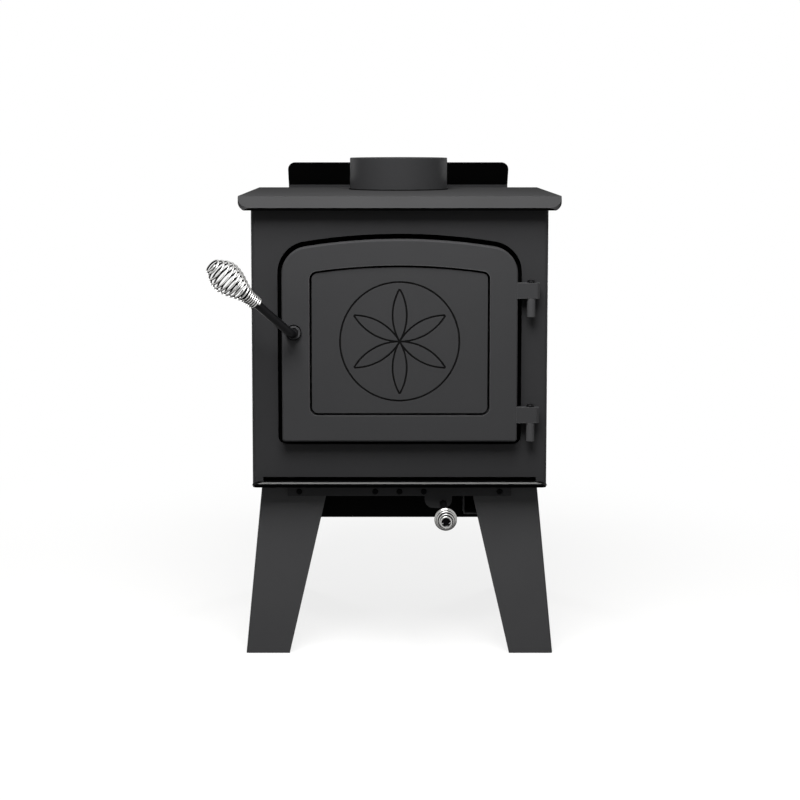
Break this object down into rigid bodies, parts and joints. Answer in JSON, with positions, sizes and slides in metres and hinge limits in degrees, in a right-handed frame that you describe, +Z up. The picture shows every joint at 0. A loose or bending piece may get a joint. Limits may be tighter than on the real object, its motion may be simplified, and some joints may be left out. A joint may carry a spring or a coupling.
{
  "type": "wood burning stove",
  "caption": "Free-standing steel wood stove on splayed sheet legs, with an arched cast door, turning latch with wound wire grip, sliding air control and top flue collar.",
  "frame": {"origin": "on the floor, under the middle of the whole stove's outline", "axes": "+X to the right of someone facing the door, +Y to the rear, +Z up"},
  "size_m": [0.5129, 0.5883, 0.746],
  "materials": {
    "painted_steel": "matt high-temperature paint on steel",
    "painted_top": "matt high-temperature paint on plate",
    "painted_cast_iron": "matt high-temperature paint on cast iron",
    "bare_cast_iron": "bare cast iron",
    "shield_sheet": "matt black paint on thin sheet",
    "nickel_wire": "nickel-plated spring wire",
    "black_oxide_steel": "black oxide on steel",
    "bare_steel": "bare steel",
    "firebrick": "pressed firebrick",
    "vermiculite": "vermiculite board",
    "fibreglass_rope": "braided fibreglass rope"
  },
  "bodies": {
    "stove_body": {"body_wrap": "painted_steel", "back_plate": "painted_steel", "bottom_plate": "painted_steel", "flue_collar": "painted_steel", "seal_frame": "painted_steel", "ash_lip": "painted_steel", "leg_front_left": "painted_steel", "leg_front_right": "painted_steel", "leg_rear_left": "painted_steel", "leg_rear_right": "painted_steel", "front_valance": "painted_steel", "valance_bracket": "painted_steel", "air_intake_duct": "painted_steel", "hinge_barrel_upper": "painted_steel", "hinge_barrel_lower": "painted_steel", "top_plate": "painted_top", "floor_grate": "bare_cast_iron", "rear_heat_shield": "shield_sheet", "bottom_heat_shield": "shield_sheet", "shield_screws": "black_oxide_steel", "tray_screws": "black_oxide_steel", "leg_bolts": "black_oxide_steel", "valance_screws": "black_oxide_steel", "hinge_pins": "black_oxide_steel", "shield_spacers": "bare_steel", "tray_spacers": "bare_steel", "damper_guides": "bare_steel", "baffle_rails": "bare_steel", "latch_keeper": "bare_steel", "floor_bricks": "firebrick", "side_bricks_left": "firebrick", "side_bricks_right": "firebrick", "rear_bricks": "firebrick", "baffle_board": "vermiculite"},
    "door": {"door_casting": "painted_cast_iron", "door_panel": "painted_cast_iron", "panel_gasket": "fibreglass_rope", "panel_clips": "bare_steel", "clip_screws": "black_oxide_steel", "door_insulation": "vermiculite", "door_rope": "fibreglass_rope", "handle_bushing": "black_oxide_steel"},
    "latch": {"handle_rod": "black_oxide_steel", "handle_coil": "nickel_wire", "latch_spacer": "bare_steel", "latch_hook": "bare_cast_iron", "latch_nut": "bare_steel"},
    "air_control": {"control_rod": "black_oxide_steel", "control_coil": "nickel_wire", "damper_slide": "bare_steel", "rod_clips": "bare_steel"}
  },
  "joints": [
    {"name": "door_hinge", "type": "hinge", "parent": "stove_body", "child": "door", "pos_m": [0.212, -0.179, 0.463], "axis": [0, 0, 1], "range_deg": [0, 115]},
    {"name": "latch_turn", "type": "hinge", "parent": "door", "child": "latch", "pos_m": [-0.1376, -0.185, 0.494], "axis": [0, -1, 0], "range_deg": [0, 81]},
    {"name": "air_slide", "type": "slide", "parent": "stove_body", "child": "air_control", "axis": [0, -1, 0], "range_m": [0, 0.055]}
  ]
}
